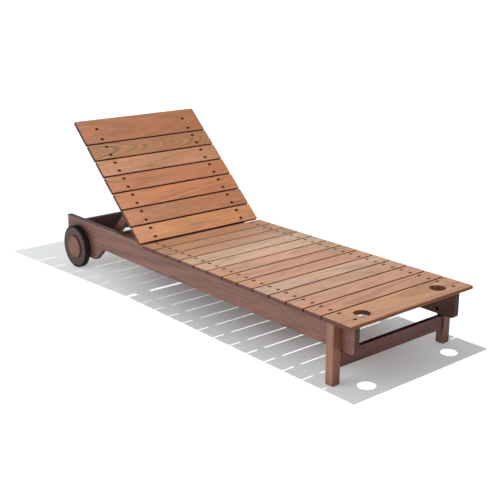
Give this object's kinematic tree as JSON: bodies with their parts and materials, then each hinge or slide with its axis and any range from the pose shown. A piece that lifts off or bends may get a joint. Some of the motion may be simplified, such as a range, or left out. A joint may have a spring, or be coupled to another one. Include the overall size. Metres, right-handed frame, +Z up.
{
  "type": "reclining sun lounger",
  "caption": "Wooden sun lounger with a slatted deck, a slatted backrest raised on a hinged prop over notched racks, square front legs, rear wheels and hand holes in the foot slat.",
  "frame": {"origin": "on the ground, under the middle of the lounger's length and width", "axes": "+Y from the foot to the head, +X to the side, +Z up"},
  "size_m": [0.7, 2.06, 0.7588],
  "materials": {
    "seat_wood": "oiled hardwood, satin, pinkish tan with fine dark pores",
    "back_wood": "oiled hardwood, satin, warm orange brown, varying from slat to slat",
    "frame_wood": "oiled hardwood, satin, greyed brown",
    "wheel_wood": "oiled hardwood, satin, dark purple brown",
    "hub_wood": "oiled hardwood, satin, light tan brown",
    "tyre_rubber": "matt black rubber",
    "dark_screws": "dark bronze coating, satin",
    "bolt_steel": "plain stainless steel, satin"
  },
  "bodies": {
    "frame": {"side_rail_left": "frame_wood", "side_rail_right": "frame_wood", "front_leg_left": "frame_wood", "front_leg_right": "frame_wood", "front_stretcher": "frame_wood", "middle_cross_rail": "frame_wood", "rear_cross_board": "frame_wood", "axle_beam": "frame_wood", "rack_left": "frame_wood", "rack_right": "frame_wood", "foot_slat": "seat_wood", "seat_slat_01": "seat_wood", "seat_slat_02": "seat_wood", "seat_slat_03": "seat_wood", "seat_slat_04": "seat_wood", "seat_slat_05": "seat_wood", "seat_slat_06": "seat_wood", "seat_slat_07": "seat_wood", "seat_slat_08": "seat_wood", "seat_slat_09": "seat_wood", "seat_slat_10": "seat_wood", "seat_slat_11": "seat_wood", "seat_slat_12": "seat_wood", "seat_screws": "dark_screws", "leg_bolts": "dark_screws", "rack_screws": "dark_screws", "hinge_bolts": "bolt_steel", "hinge_washers": "bolt_steel", "hinge_nuts": "bolt_steel", "axle": "bolt_steel", "axle_washers": "bolt_steel", "axle_clips": "bolt_steel"},
    "backrest": {"back_stile_left": "frame_wood", "back_stile_right": "frame_wood", "back_slat_1": "back_wood", "back_slat_2": "back_wood", "back_slat_3": "back_wood", "back_slat_4": "back_wood", "back_slat_5": "back_wood", "back_slat_6": "back_wood", "head_slat": "back_wood", "back_screws": "dark_screws", "prop_bolts": "bolt_steel", "prop_nuts": "bolt_steel"},
    "prop": {"prop_arm_left": "frame_wood", "prop_arm_right": "frame_wood", "prop_bar": "frame_wood"},
    "wheel_left": {"wheel_left": "wheel_wood", "tyre_left": "tyre_rubber", "hub_left": "hub_wood"},
    "wheel_right": {"wheel_right": "wheel_wood", "tyre_right": "tyre_rubber", "hub_right": "hub_wood"}
  },
  "joints": [
    {"name": "backrest_recline", "type": "hinge", "parent": "frame", "child": "backrest", "pos_m": [0, 0.295, 0.2325], "axis": [1, 0, 0], "range_deg": [-42.5, 17.5]},
    {"name": "prop_swing", "type": "hinge", "parent": "backrest", "child": "prop", "pos_m": [0, 0.48522, 0.4068], "axis": [1, 0, 0], "range_deg": [-34, 82]},
    {"name": "wheel_left_spin", "type": "hinge", "parent": "frame", "child": "wheel_left", "pos_m": [-0.3165, 0.9195, 0.107], "axis": [1, 0, 0], "continuous": true},
    {"name": "wheel_right_spin", "type": "hinge", "parent": "frame", "child": "wheel_right", "pos_m": [0.3165, 0.9195, 0.107], "axis": [1, 0, 0], "continuous": true}
  ],
  "couplings": [
    {"joint": "prop_swing", "follows": "backrest_recline", "ratio": -1.9023}
  ]
}
